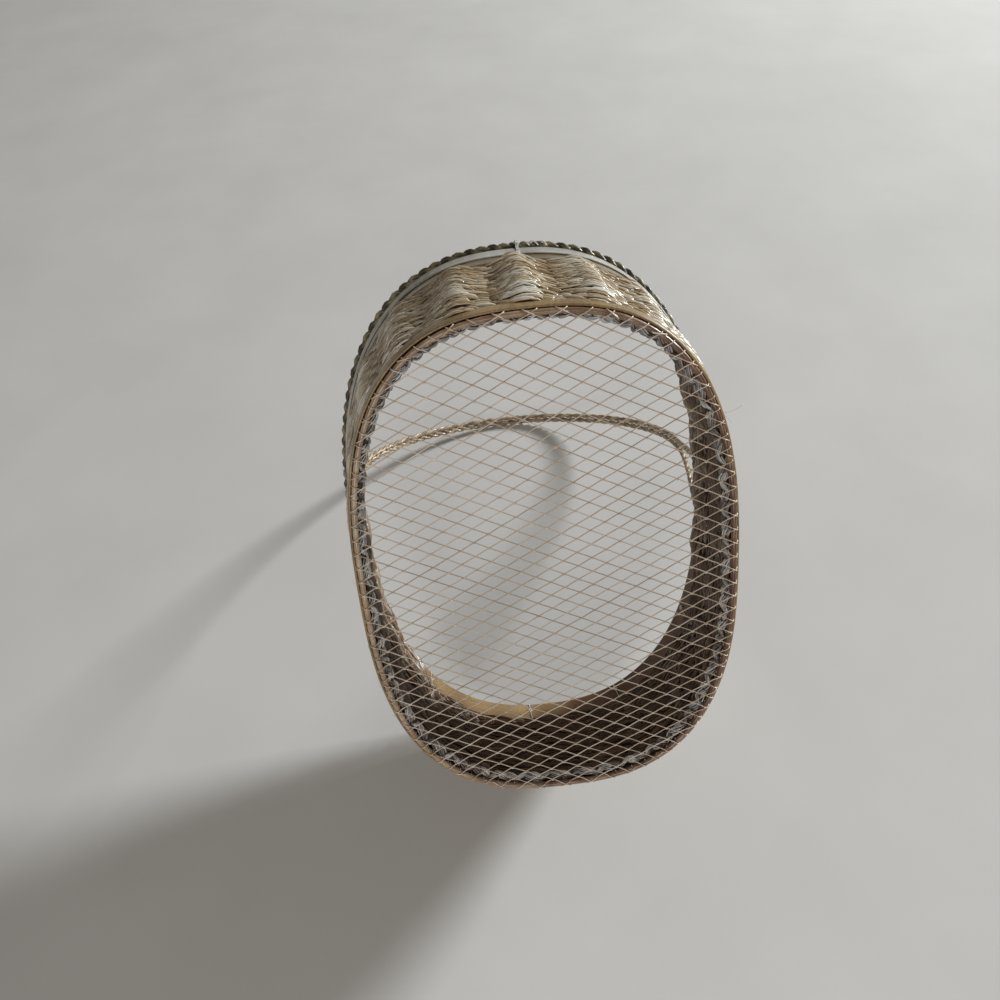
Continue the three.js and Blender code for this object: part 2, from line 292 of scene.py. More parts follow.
class Bundle:
    """Strands and hoops that become one mesh. Each vertex keeps grain, its place along its strand and
    across the strand's section in millimetres, and tone, which colours one strand unlike the next and on
    some parts also carries painted light and shade."""

    def __init__(self):
        self.points = []
        self.faces = []
        self.grain = []
        self.tone = []
        self.grids = []
        self.count = 0

    def grid(self, rings, section, closed, tone):
        steps, sides = rings.shape[:2]
        index = self.count + np.arange(steps * sides).reshape(steps, sides)
        after = np.roll(index, -1, 0) if closed else index[1:]
        before = index if closed else index[:-1]
        quads = np.stack([before, np.roll(before, -1, 1), np.roll(after, -1, 1), after], -1)
        self.faces += quads.reshape(-1, 4).tolist()
        self.grids.append((len(before), sides, not closed))
        if not closed:
            self.faces += [index[0][::-1].tolist(), index[-1].tolist()]
        middle = rings.mean(1)
        along = np.concatenate([[0], np.cumsum(np.linalg.norm(np.diff(middle, axis=0), axis=1))])
        across = np.broadcast_to(section, (steps, sides, 2))
        lengthways = np.broadcast_to(along[:, None, None], (steps, sides, 1))
        self.grain.append(np.concatenate([lengthways, across], -1).reshape(-1, 3))
        tone = np.asarray(tone, float)
        if tone.ndim < 2:
            tone = tone.reshape(-1, 1)
        self.tone.append(np.broadcast_to(tone, (steps, sides)).reshape(-1))
        self.points.append(rings.reshape(-1, 3))
        self.count += steps * sides

    def tube(self, path, up, radius, sides=6, closed=False, flat=1.0, tone=0.5):
        """A round or flattened strand along a path. Open ends are drawn in."""
        steps = len(path)
        radius = np.broadcast_to(np.asarray(radius, float), (steps,)).copy()
        if closed:
            tangent = np.roll(path, -1, 0) - np.roll(path, 1, 0)
        else:
            tangent = np.gradient(path, axis=0)
            radius[[0, -1]] *= 0.35
        tangent = unit(tangent)
        up = np.broadcast_to(np.asarray(up, float), path.shape)
        normal = unit(up - (up * tangent).sum(-1, keepdims=True) * tangent)
        side = np.cross(tangent, normal)
        angle = TAU * np.arange(sides) / sides
        section = np.stack([flat * np.cos(angle), np.sin(angle)], -1) * radius[:, None, None]
        rings = path[:, None] + section[..., :1] * normal[:, None] + section[..., 1:] * side[:, None]
        self.grid(rings, section, closed, tone)

    def hoop(self, section, share, tone=0.5, bend=None):
        """A closed hoop whose section, a clockwise list of (offset, level) points, follows the oval."""
        section = np.asarray(section, float)
        offset = np.broadcast_to(section[:, 0], (len(share), len(section)))
        level = np.broadcast_to(section[:, 1], (len(share), len(section)))
        if bend is not None:
            offset, level = bend(share[:, None], offset, level)
        rings = oval(share[:, None] + 0 * level, level, offset)
        self.grid(rings, section, True, tone)

    def bake_map(self, mesh):
        """Lays the strands out one after another in straight strips, so that a bake keeps their streaks."""
        total = sum(length + 1 for length, sides, ends in self.grids)
        per_strip = max(1, math.ceil(math.sqrt(total * 4)))
        strips = math.ceil(total / per_strip) + 1
        corners = []
        start = 0
        for length, sides, ends in self.grids:
            i, j = np.meshgrid(start + np.arange(length), np.arange(sides), indexing="ij")
            left, strip = (i % per_strip) / per_strip, i // per_strip
            low = (strip + 0.08 + 0.84 * j / sides) / strips
            wide, high = 1 / per_strip, 0.84 / sides / strips
            quad = [[left, low], [left, low + high], [left + wide, low + high], [left + wide, low]]
            corners.append(np.array(quad).transpose(2, 3, 0, 1).reshape(-1, 2))
            start += length + 1
            if ends:
                turn = TAU * np.arange(2 * sides) / sides
                spot = np.stack([np.cos(turn), np.sin(turn)], -1) * 0.3 / strips
                corners.append(spot + [0.5, 1 - 0.5 / strips])
        layer = mesh.uv_layers.new(name="OFBake")
        layer.uv.foreach_set("vector", np.concatenate(corners).astype(np.float32).ravel())

    def build(self, name, material, slot, *nodes):
        mesh = bpy.data.meshes.new(name)
        points = np.concatenate(self.points) * MM
        mesh.from_pydata(points.tolist(), [], self.faces)
        mesh.polygons.foreach_set("use_smooth", np.ones(len(mesh.polygons), bool))
        grain = mesh.attributes.new("grain", "FLOAT_VECTOR", "POINT")
        grain.data.foreach_set("vector", np.concatenate(self.grain).astype(np.float32).ravel())
        tone = mesh.attributes.new("tone", "FLOAT", "POINT")
        tone.data.foreach_set("value", np.concatenate(self.tone).astype(np.float32))
        self.bake_map(mesh)
        mesh.materials.append(material)
        piece = bpy.data.objects.new(name, mesh)
        bpy.context.scene.collection.objects.link(piece)
        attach(piece, "root")
        if nodes:
            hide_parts(*nodes)
        return piece


# Materials: where shades lie on a ramp, the range of a noise, the shift between strands, and stains
RAMP_PLACES = (0.2, 0.43, 0.62, 0.86)
NOISE_LOW = 0.3
NOISE_HIGH = 0.7
TONE_SHIFT = 37.0
PATCH_SCALE = 26.0
PATCH_STRENGTH = 0.55
PATCH_COLOUR = (0.72, 0.68, 0.62, 1)
PATCH_CLEAR = 0.62
WHITE = (1, 1, 1, 1)
COAT_ROUGHNESS = 0.2


def srgb(red, green, blue):
    """A colour from its 0 to 255 screen values."""
    values = np.array([red, green, blue]) / 255
    linear = np.where(values <= 0.04045, values / 12.92, ((values + 0.055) / 1.055) ** 2.4)
    return (*linear.tolist(), 1.0)


class Nodes:
    """Short calls for making a material's nodes and links."""

    def __init__(self, name):
        self.material = bpy.data.materials.new(name)
        self.material.use_nodes = True
        self.tree = self.material.node_tree
        self.shader = self.tree.nodes["Principled BSDF"]

    def add(self, kind, **settings):
        node = self.tree.nodes.new(kind)
        for key, value in settings.items():
            setattr(node, key, value)
        return node

    def put(self, value, socket):
        if isinstance(value, bpy.types.NodeSocket):
            self.tree.links.new(value, socket)
        else:
            socket.default_value = value

    def math(self, operation, first, second=0.0):
        node = self.add("ShaderNodeMath", operation=operation)
        self.put(first, node.inputs[0])
        self.put(second, node.inputs[1])
        return node.outputs[0]

    def vector(self, operation, first, second):
        node = self.add("ShaderNodeVectorMath", operation=operation)
        self.put(first, node.inputs[0])
        self.put(second, node.inputs[1])
        return node.outputs[0]

    def attribute(self, name, output):
        return self.add("ShaderNodeAttribute", attribute_name=name).outputs[output]

    def noise(self, vector, scale, detail, roughness=0.55):
        node = self.add("ShaderNodeTexNoise")
        self.put(vector, node.inputs["Vector"])
        node.inputs["Scale"].default_value = scale
        node.inputs["Detail"].default_value = detail
        node.inputs["Roughness"].default_value = roughness
        return node.outputs["Fac"]

    def ramp(self, factor, colours):
        node = self.add("ShaderNodeValToRGB")
        elements = node.color_ramp.elements
        for i, (place, colour) in enumerate(colours):
            element = elements[i] if i < 2 else elements.new(place)
            element.position = place
            element.color = colour
        self.put(factor, node.inputs[0])
        return node.outputs[0]

    def spread(self, value, low, high):
        """Maps the usual range of a noise onto low to high."""
        node = self.add("ShaderNodeMapRange")
        self.put(value, node.inputs[0])
        node.inputs[1].default_value = NOISE_LOW
        node.inputs[2].default_value = NOISE_HIGH
        node.inputs[3].default_value = low
        node.inputs[4].default_value = high
        return node.outputs[0]

    def tint(self, factor, first, second):
        node = self.add("ShaderNodeMix", data_type="RGBA", blend_type="MULTIPLY")
        self.put(factor, node.inputs[0])
        self.put(first, node.inputs[6])
        self.put(second, node.inputs[7])
        return node.outputs[2]

    def bump(self, height, distance):
        node = self.add("ShaderNodeBump")
        node.inputs["Strength"].default_value = 1.0
        node.inputs["Distance"].default_value = distance
        self.put(height, node.inputs["Height"])
        return node.outputs[0]


def fibre(name, colours, streak, rough, bump=0.12, coat=0.0, tone_share=0.45, metallic=0.0, gloss=0.5):
    """A plant fibre: streaks along the strand, strands of unlike tone, and stained patches. streak is
    the streaks' length and width in millimetres, rough the least and most roughness."""
    nodes = Nodes(name)
    tone = nodes.attribute("tone", "Fac")
    grain = nodes.attribute("grain", "Vector")
    scaled = nodes.vector("MULTIPLY", grain, (1 / streak[0], 1 / streak[1], 1 / streak[1]))
    shift = nodes.add("ShaderNodeCombineXYZ")
    nodes.put(nodes.math("MULTIPLY", tone, TONE_SHIFT), shift.inputs[0])
    streaks = nodes.noise(nodes.vector("ADD", scaled, shift.outputs[0]), 1.0, 5.0, 0.62)
    position = nodes.add("ShaderNodeNewGeometry").outputs["Position"]
    patches = nodes.noise(position, PATCH_SCALE, 3.0)
    fine = nodes.math("MULTIPLY", streaks, 1 - tone_share)
    level = nodes.math("ADD", fine, nodes.math("MULTIPLY", tone, tone_share))
    body = nodes.ramp(level, colours)
    stain_and_painted_shade = nodes.ramp(patches, [(NOISE_LOW, PATCH_COLOUR), (PATCH_CLEAR, WHITE)])
    nodes.put(nodes.tint(PATCH_STRENGTH, body, stain_and_painted_shade), nodes.shader.inputs["Base Color"])
    nodes.put(nodes.spread(streaks, rough[1], rough[0]), nodes.shader.inputs["Roughness"])
    nodes.put(nodes.bump(streaks, bump * MM), nodes.shader.inputs["Normal"])
    nodes.shader.inputs["Metallic"].default_value = metallic
    nodes.shader.inputs["Specular IOR Level"].default_value = gloss
    nodes.shader.inputs["Coat Weight"].default_value = coat
    nodes.shader.inputs["Coat Roughness"].default_value = COAT_ROUGHNESS
    return nodes.material


def shades(*colours):
    """Four colours, from dark to pale, placed along a colour ramp."""
    return list(zip(RAMP_PLACES, (srgb(*colour) for colour in colours)))


def plain_floor():
    """A pale floor that shows from above only."""
    nodes = Nodes("pale_floor")
    position = nodes.add("ShaderNodeNewGeometry")
    mottle = nodes.noise(position.outputs["Position"], 9.0, 3.0)
    greys = [(NOISE_LOW, (0.60, 0.585, 0.56, 1)), (NOISE_HIGH, (0.64, 0.625, 0.6, 1))]
    colour = nodes.ramp(mottle, greys)
    nodes.put(colour, nodes.shader.inputs["Base Color"])
    nodes.shader.inputs["Roughness"].default_value = 0.9
    nodes.shader.inputs["Specular IOR Level"].default_value = 0.0
    clear = nodes.add("ShaderNodeBsdfTransparent")
    mix = nodes.add("ShaderNodeMixShader")
    nodes.put(position.outputs["Backfacing"], mix.inputs[0])
    nodes.put(nodes.shader.outputs[0], mix.inputs[1])
    nodes.put(clear.outputs[0], mix.inputs[2])
    nodes.put(mix.outputs[0], nodes.tree.nodes["Material Output"].inputs["Surface"])
    return nodes.material


STRAW = fibre(
    "woven_straw", shades((104, 77, 47), (181, 156, 116), (224, 213, 191), (250, 248, 241)),
    (12, 0.32), (0.16, 0.34), bump=0.12, coat=1.0, tone_share=0.55, gloss=0.8)
# Painted shade: the inside of the wall is the same straw as the outside, drawn in this darker copy that
# stands in for the shade inside the basket.
INNER_STRAW_PAINTED_SHADE = fibre(
    "inner_straw_painted_shade", shades((54, 38, 24), (94, 69, 44), (124, 97, 67), (206, 198, 184)),
    (14, 0.5), (0.2, 0.4), bump=0.06, coat=0.35, gloss=0.35)
# Painted shade: a dark straw colour for the cores inside the wall and the braid, which stands in for the
# shade seen in the gaps between straws.
PAINTED_SHADE_CORE_STRAW = fibre(
    "wall_core_painted_shade", shades((40, 30, 20), (62, 48, 32), (82, 64, 42), (104, 84, 58)),
    (14, 0.6), (0.5, 0.7))
GREY_STRAW = fibre(
    "grey_straw", shades((84, 71, 63), (154, 147, 143), (202, 201, 200), (238, 240, 241)),
    (10, 0.3), (0.15, 0.32), coat=0.8, tone_share=0.6)
RATTAN = fibre(
    "rattan_rod", shades((80, 49, 36), (120, 86, 62), (180, 153, 122), (226, 212, 190)),
    (30, 0.5), (0.25, 0.42), bump=0.06, coat=0.4, gloss=0.5)
CANE = fibre(
    "golden_cane", shades((98, 62, 37), (134, 107, 72), (168, 140, 99), (204, 179, 138)),
    (60, 0.9), (0.4, 0.6), gloss=0.12)
BROWN_CANE = fibre(
    "brown_cane", shades((82, 63, 38), (138, 111, 70), (174, 148, 103), (214, 194, 152)),
    (45, 0.8), (0.25, 0.45), bump=0.2, coat=0.35)
OLIVE_CANE = fibre(
    "olive_cane", shades((82, 69, 48), (118, 103, 76), (146, 131, 100), (182, 167, 134)),
    (60, 0.9), (0.2, 0.42), coat=0.4)
PALE_CANE = fibre(
    "pale_cane", shades((94, 88, 74), (164, 160, 146), (214, 213, 206), (247, 248, 245)),
    (45, 0.8), (0.3, 0.5), bump=0.2, coat=0.3, tone_share=0.5)
ROPE = fibre(
    "olive_rope", shades((46, 40, 27), (80, 72, 49), (116, 106, 77), (178, 168, 134)),
    (9, 0.3), (0.24, 0.46), coat=0.4)
CORD = fibre(
    "handle_cord", shades((88, 69, 50), (142, 119, 90), (190, 169, 137), (236, 224, 202)),
    (9, 0.3), (0.22, 0.46), coat=0.4)
THREAD = fibre(
    "pale_thread", shades((196, 194, 184), (224, 222, 214), (240, 239, 233), (250, 250, 247)),
    (4, 0.2), (0.15, 0.35), coat=0.5)
WIRE = fibre(
    "mesh_wire", shades((188, 164, 138), (220, 200, 176), (234, 218, 198), (246, 237, 222)),
    (6, 0.3), (0.25, 0.45), bump=0.03, metallic=0.15)
# Painted highlight: the knots are the mesh's own wire, drawn near white so that they read as glints at the
# crossings.
KNOT_PAINTED_GLINT = fibre(
    "wire_knot_painted_glint", shades((226, 214, 196), (240, 232, 218), (248, 243, 234), (252, 250, 246)),
    (6, 0.3), (0.2, 0.35), bump=0.03, coat=0.5)
STEEL = fibre(
    "core_steel", shades((110, 110, 112), (140, 140, 142), (165, 165, 167), (180, 180, 182)),
    (20, 0.3), (0.3, 0.5), bump=0.03, metallic=1.0)


# Base: rod, mesh, band and braid


def base_rod(wraps):
    """The rod round the base, pinched a little where each wire's end is wrapped over it."""
    share = round_shares(ROD_STEPS)
    radius = RING_RADIUS * (1 + wander(share, 0.02))
    for wrap in wraps:
        gap = np.abs((share - wrap + 0.5) % 1 - 0.5) * GIRTH
        radius = radius - WRAP_PINCH * np.exp(-((gap / WRAP_WIDTH) ** 2))
    bundle = Bundle()
    path = oval(share, RING_LEVEL + wander(share, 0.05), wander(share, 0.06))
    # Partly its own colour and partly painted highlight: the rod is redder and darker towards +X and paler
    # towards -X, where the paleness stands in for light on it.
    tone = 0.5 + wander(share, 0.2, (5, 17, 41, 90)) - ROD_TINT_AND_PAINTED_HIGHLIGHT * np.cos(TAU * share)
    bundle.tube(path, outward(share, RING_LEVEL), radius, 12, True, tone=tone)
    bundle.build("base_rod", RATTAN, "rattan", "base_ring")


def mesh_line(slope, start, half_x, half_y):
    """The stretch of one mesh wire that lies inside the base rod's own line."""
    x = np.linspace(-half_x, half_x, 3321)
    y = slope * x + start
    inside = (np.abs(x) / half_x) ** BASE_SQUARENESS + (np.abs(y) / half_y) ** BASE_SQUARENESS <= 1
    if inside.sum() < 40:
        return None
    return x[inside][0], x[inside][-1]


def wire_wrap(end, heading):
    """Points of a wire's end, which goes under the base rod, out, up over it and back down inside."""
    share = math.atan2(end[1] / BAND_HIGH[1], end[0] / BAND_HIGH[0]) / TAU
    shares = np.linspace(share - WRAP_SEARCH, share + WRAP_SEARCH, 801)
    line = oval(shares, RING_LEVEL)
    nearest = np.argmin(np.linalg.norm(line[:, :2] - end, axis=1))
    centre = line[nearest]
    tangent = unit(line[min(nearest + 1, len(line) - 1)] - line[max(nearest - 1, 0)])
    out = np.array([tangent[1], -tangent[0], 0.0])
    turn = np.linspace(WRAP_START, WRAP_END, 22)
    reach = RING_RADIUS + MESH_WIRE_RADIUS * 0.9
    slant = np.clip((heading @ tangent[:2]) / max(heading @ out[:2], 0.1), -WRAP_SLANT, WRAP_SLANT)
    drift = slant * reach * np.where(turn < 0, np.cos(turn), 1 + 0.15 * turn)
    arm = np.cos(turn)[:, None] * out + np.sin(turn)[:, None] * UP
    return centre + reach * arm + drift[:, None] * tangent, arm, shares[nearest]


def mesh_wire(bundle, way, number, half_x, half_y):
    """One wire of the net with its two wrapped ends. Gives the shares at which it is wrapped."""
    pitch_x = 2 * half_x / MESH_COLUMNS
    pitch_y = 2 * half_y / MESH_ROWS
    slope = way * pitch_y / pitch_x
    start = (number + 0.5) * pitch_y
    span = mesh_line(slope, start, half_x, half_y)
    if span is None or span[1] - span[0] < 4 * MESH_END_GAP:
        return []
    x = np.arange(span[0] + MESH_END_GAP, span[1] - MESH_END_GAP, MESH_STEP)
    weave = way * MESH_WAVE * np.cos(TAU * x / pitch_x + math.pi * number)
    path = np.stack([x, slope * x + start, MESH_LEVEL + weave], -1)
    heading = unit(np.array([1.0, slope]))
    near = np.array([span[0], slope * span[0] + start])
    far = np.array([span[1], slope * span[1] + start])
    first, first_up, first_share = wire_wrap(near, -heading)
    last, last_up, last_share = wire_wrap(far, heading)
    whole = np.concatenate([first[::-1], path, last])
    ups = np.concatenate([first_up[::-1], np.broadcast_to(-UP, path.shape), last_up])
    bundle.tube(whole, ups, MESH_WIRE_RADIUS, 5, tone=random.random())
    return [first_share, last_share]


def mesh_knots(half_x, half_y):
    """The small hooks of wire at the net's crossings, painted near white as glints."""
    bow = np.linspace(-KNOT_BOW, KNOT_BOW, 5)
    hook = np.stack([KNOT_SIZE * np.sin(bow), KNOT_SIZE * (np.cos(bow) - 0.35), 0 * bow - 0.15], -1)
    inner_x, inner_y = half_x - KNOT_MARGIN, half_y - KNOT_MARGIN
    bundle = Bundle()
    for column in range(-MESH_COLUMNS, MESH_COLUMNS + 1):
        for row in range(-MESH_ROWS, MESH_ROWS + 1):
            x, y = column * half_x / MESH_COLUMNS, row * half_y / MESH_ROWS
            edge = (abs(x) / inner_x) ** BASE_SQUARENESS + (abs(y) / inner_y) ** BASE_SQUARENESS
            if (column + row + MESH_COLUMNS) % 2 or edge > 1:
                continue
            path = np.array([x, y, MESH_LEVEL]) + hook
            bundle.tube(path, UP, 1.25 * MESH_WIRE_RADIUS, 4, tone=random.random())
    bundle.build("mesh_knots", KNOT_PAINTED_GLINT, "mesh_wire", "wire_mesh")


def bottom_mesh():
    """The diamond net. Gives the shares at which its wires are wrapped over the base rod."""
    half_x = RING_HIGH[0] - RING_RADIUS
    half_y = RING_HIGH[1] - RING_RADIUS
    wraps = []
    wires = Bundle()
    for way in (1, -1):
        for number in MESH_NUMBERS:
            wraps += mesh_wire(wires, way, number, half_x, half_y)
    wires.build("bottom_mesh", WIRE, "mesh_wire", "wire_mesh")
    mesh_knots(half_x, half_y)
    return wraps


def hoop_section(low, high, bottom, top, crown=HOOP_CROWN, ripple=0.05, lines=8, face_points=17):
    """A flat strip's section with rounded edges, a slight crown and fine lines along both faces."""
    edge = min(0.5 * (high - low), 0.6)
    down = np.linspace(0, 1, face_points)
    swell = crown * (1 - (2 * down - 1) ** 2) - ripple * (0.5 - 0.5 * np.cos(TAU * lines * down))
    bend = np.linspace(0, math.pi, 7)[1:-1]
    outer = np.stack([high - crown + swell, lerp(top - edge, bottom + edge, down)], -1)
    inner = np.stack([low + 0.3 * (crown - swell), lerp(bottom + edge, top - edge, down)], -1)
    middle, half = (low + high - crown) / 2, (high - crown - low) / 2
    under = np.stack([middle + half * np.cos(bend), bottom + edge - edge * np.sin(bend)], -1)
    over = np.stack([middle - half * np.cos(bend), top - edge + edge * np.sin(bend)], -1)
    return np.concatenate([outer, under, inner, over])


def hoop_bend(offset_wobble, level_wobble):
    """Lets a hoop's place waver a little, as a strip of cane does."""
    shift, lift = random.random(2)

    def bend(share, offset, level):
        sway = np.sin(TAU * (5 * share + shift)) + 0.6 * np.sin(TAU * (11 * share + lift))
        rock = np.sin(TAU * (4 * share + lift)) + 0.5 * np.sin(TAU * (9 * share + shift))
        return offset + offset_wobble * sway, level + level_wobble * rock

    return bend


def flat_hoop(name, material, slot, node, section, stain_and_painted_shade=0.0):
    """One flat strip round the basket. The last argument sets its painted shade: how much darker it is along
    one side of the near end.
    """
    share = round_shares(HOOP_STEPS)
    # Painted shade: the inner hoop is painted darker along one side of the near end, where it lies in shade.
    painted_shade_mask = smooth_step((share - PAINTED_SHADE_START) / FOLD_EASE) * smooth_step((PAINTED_SHADE_END - share) / FOLD_EASE)
    bundle = Bundle()
    bundle.hoop(section, share, 0.5 + wander(share, 0.22) - stain_and_painted_shade * painted_shade_mask, hoop_bend(HOOP_SWAY, HOOP_ROCK))
    bundle.build(name, material, slot, node)


def braid_bead(bundle, bead, beads):
    """One bundle of straws, which lies aslant and bulges out in its middle."""
    u = np.linspace(-1, 1, 8)
    arch = np.cos(0.5 * math.pi * u)
    lens = 0.2 + 0.8 * arch
    middle = (bead + random.uniform(-0.2, 0.2)) / beads
    way = 1 if bead % 3 else -1
    length = random.uniform(0.7, 1.05)
    broad = random.uniform(0.6, 0.9)
    shade = random.uniform(0.25, 0.9)
    for straw in range(BRAID_STRAWS):
        place = straw - (BRAID_STRAWS - 1) / 2
        share = middle + u * length / beads + place * lens * 0.1 / beads
        across = -BRAID_SWING * way * u + BRAID_SPREAD * place * lens * broad + random.uniform(-0.2, 0.2)
        deep = BRAID_BULGE * arch - 0.2 - 0.12 * place ** 2
        deep = deep + random.uniform(-0.25, 0.25)
        offset = BRAID_OFFSET + BRAID_ACROSS[0] * across + BRAID_DEPTH[0] * deep
        level = BRAID_LEVEL + BRAID_ACROSS[1] * across + BRAID_DEPTH[1] * deep
        facing = outward(share, level) * BRAID_DEPTH[0] + BRAID_DEPTH[1] * UP
        radius = BRAID_STRAW_RADIUS * broad * (0.4 + 0.6 * arch) * random.uniform(0.8, 1.1)
        tone = np.clip(shade + random.uniform(-0.35, 0.35), 0, 1)
        bundle.tube(oval(share, level, offset), facing, radius, 5, flat=0.55, tone=tone)


def braid():
    """Twisted bundles of grey straw along the inside of the base rod, round a core that is dark with painted
    shade.
    """
    beads = round(BRAID_GIRTH / BRAID_PITCH)
    bundle = Bundle()
    for bead in range(beads):
        braid_bead(bundle, bead, beads)
    bundle.build("base_braid", GREY_STRAW, "grey_straw", "base_lashing")
    core = Bundle()
    share = round_shares(BRAID_CORE_STEPS)
    path = oval(share, BRAID_LEVEL + wander(share, 0.1), BRAID_OFFSET + wander(share, 0.1))
    tone = 0.5 + wander(share, 0.3)
    core.tube(path, outward(share, BRAID_LEVEL), BRAID_CORE_RADIUS, 10, True, tone=tone)
    core.build("braid_core", PAINTED_SHADE_CORE_STRAW, "grey_straw", "base_lashing")


# Woven wall: a course is one float's middle, its reach to the floats before and after, and its look
Course = namedtuple("Course", "middle before after level slant shade")


def float_table():
    """Counts of floats against shares round the wall: fewer, longer floats cross each stake."""
    share = np.linspace(-0.1, 1.1, 60001)
    ease = FLOATS_PER_STAKE * FLOAT_EASE / TAU
    return STAKE_COUNT * FLOATS_PER_STAKE * share - ease * np.sin(TAU * STAKE_COUNT * share), share


TABLE_COUNTS, TABLE_SHARES = float_table()
STAKE_SWELLS = random.uniform(0.85, 1.1, STAKE_COUNT)
STAKE_LIFTS = random.uniform(0.1, 0.5, STAKE_COUNT)
STAKE_LIFTS[3 * STAKE_COUNT // 4] = 1.0


def nearest_stake(share):
    """The number of the stake next to each share."""
    return np.round(share * STAKE_COUNT).astype(int) % STAKE_COUNT


def stake_bump(share):
    """1 at each stake, more or less, and 0 half way between two stakes."""
    return STAKE_SWELLS[nearest_stake(share)] * (0.5 + 0.5 * np.cos(TAU * STAKE_COUNT * share)) ** 1.3


def rib_height(share, side):
    """How far the weave stands out over the stakes: on the outside, most at the basket's two ends."""
    if side < 0:
        return INNER_SWELL
    from_end = np.abs(np.mod(2 * share, 1) - 0.5) / 2
    return lerp(SIDE_SWELL, END_SWELL, np.exp(-((from_end / END_REACH) ** 2)))


def fold_over(share, side):
    """Where straw is worked up over the inner rim hoop: 0 along the hoop's bare stretch, 1 elsewhere."""
    if side > 0:
        return 0 * share
    share = np.mod(share, 1)
    return smooth_step((share - BARE_END) / FOLD_EASE) + smooth_step((BARE_START - share) / FOLD_EASE)


def float_places(row):
    """Middles of one row's floats, which lie on the stakes and drift one way or the other between."""
    number = np.arange(STAKE_COUNT * FLOATS_PER_STAKE)
    drift = (0.5 if row % 2 else -0.5) * (0.5 - 0.5 * np.cos(TAU * number / FLOATS_PER_STAKE))
    return number + drift + random.uniform(-0.1, 0.1, len(number))


def row_place(row):
    """A row's share of the full swell, and how near the row is to the rim and to the base, 0 to 1."""
    rise = (row + 0.5) / ROW_COUNT
    fade = (1 - 0.75 * max(0.0, 1 - rise / LOWER_END) ** 1.5) * (1 - 0.3 * rise ** 4)
    upper = max(0.0, rise - UPPER_START) / (1 - UPPER_START)
    lower = max(0.0, LOWER_END - rise) / LOWER_END
    return fade, upper, lower


def straw_draws():
    """One straw's seeded differences: in reach, middle, height, offset, width and tone."""
    ranges = ((0.8, 1.15), (-0.2, 0.2), (-0.35, 0.35), (-0.4, 0.3), (0.8, 1.15), (-0.3, 0.3))
    return [random.uniform(low, high) for low, high in ranges]


def woven_straw(bundle, row, face, course, straw):
    """One straw of a float, which swells over a stake and dips under its neighbours at its ends."""
    stretch, shift, lift, push, stout, tint = straw_draws()
    fade, upper, lower = row_place(row)
    outside = face.side > 0
    u = np.linspace(-1, 1, face.points)
    spot = straw - (face.straws - 1) / 2
    reach = FLOAT_LAP * stretch * np.where(u < 0, course.before, course.after)
    share = np.interp(course.middle + shift + reach * u, TABLE_COUNTS, TABLE_SHARES)
    bump = stake_bump(share)
    rib = fade * rib_height(share, face.side)
    fold = upper * fold_over(share, face.side)
    lens = 1 - 0.4 * np.abs(u) ** 2
    height = course.level - course.slant * u + spot * ROW_STEP / face.straws * lens + lift
    height = height - BOTTOM_ROW_DROP * lower * (0.4 + 0.6 * bump) + FOLD_HEIGHT * fold
    if outside:
        climb = upper ** 1.5 * np.minimum(bump, 1) ** 2 * rib / END_SWELL
        height = height + TOP_ROW_LIFT * STAKE_LIFTS[nearest_stake(share)] * climb
    dip = FLOAT_DIP * np.abs(u) ** 2.2 + 0.1 * spot ** 2
    offset = WEAVE_HALF + rib * bump - dip + push + FOLD_OFFSET * fold
    radius = face.width * (1 - 0.75 * np.abs(u) ** 2.5) * stout * (1 + FOLD_WIDENING * fold)
    # Painted light and shade: paler over the stakes, darker in the valleys between them.
    painted_valley_shade = VALLEY_PAINTED_SHADE * (0.5 - bump) * outside
    tone = np.clip(course.shade + tint + FOLD_PALENESS * fold - painted_valley_shade, 0, 1)
    path = oval(share, height, face.side * offset)
    bundle.tube(path, face.side * outward(share, height), radius, 4, flat=face.flatness, tone=tone)


def woven_row(bundle, row, face):
    """One row of floats on one face of the wall."""
    places = float_places(row)
    whole_turn = STAKE_COUNT * FLOATS_PER_STAKE * (np.arange(len(places)) == 0)
    before = places - np.roll(places, 1) + whole_turn
    for middle, reach, follow in zip(places, before, np.roll(before, -1)):
        level = WALL_LOW[2] + ROW_STEP * (row + 0.5) + random.uniform(-0.35, 0.35)
        slant = face.side * random.uniform(0.5, 1.3)
        shade = random.uniform(0.35, 0.65)
        course = Course(middle, reach, follow, level, slant, shade)
        for straw in range(face.straws):
            woven_straw(bundle, row, face, course, straw)


def woven_wall():
    """The weave's two faces, in pieces of a few rows each, and the core between them, dark with painted
    shade.
    """
    for first, last in WEAVE_PIECES:
        outer, inner = Bundle(), Bundle()
        for row in range(first, last):
            woven_row(outer, row, OUTER_FACE)
            woven_row(inner, row, INNER_FACE)
        outer.build(f"weave_outer_{first + 1:02d}", STRAW, "straw", "woven_wall")
        inner.build(f"weave_inner_{first + 1:02d}", INNER_STRAW_PAINTED_SHADE, "straw", "woven_wall")
    share = round_shares(HOOP_STEPS)
    core = Bundle()
    bottom, top = WALL_LOW[2] - 0.2, WALL_HIGH[2] + 0.2
    section = hoop_section(-WEAVE_CORE_HALF, WEAVE_CORE_HALF, bottom, top, 0.05, 0.0, 4, 9)
    core.hoop(section, share, 0.5 + wander(share, 0.3))
    core.build("weave_core", PAINTED_SHADE_CORE_STRAW, "straw", "woven_wall")


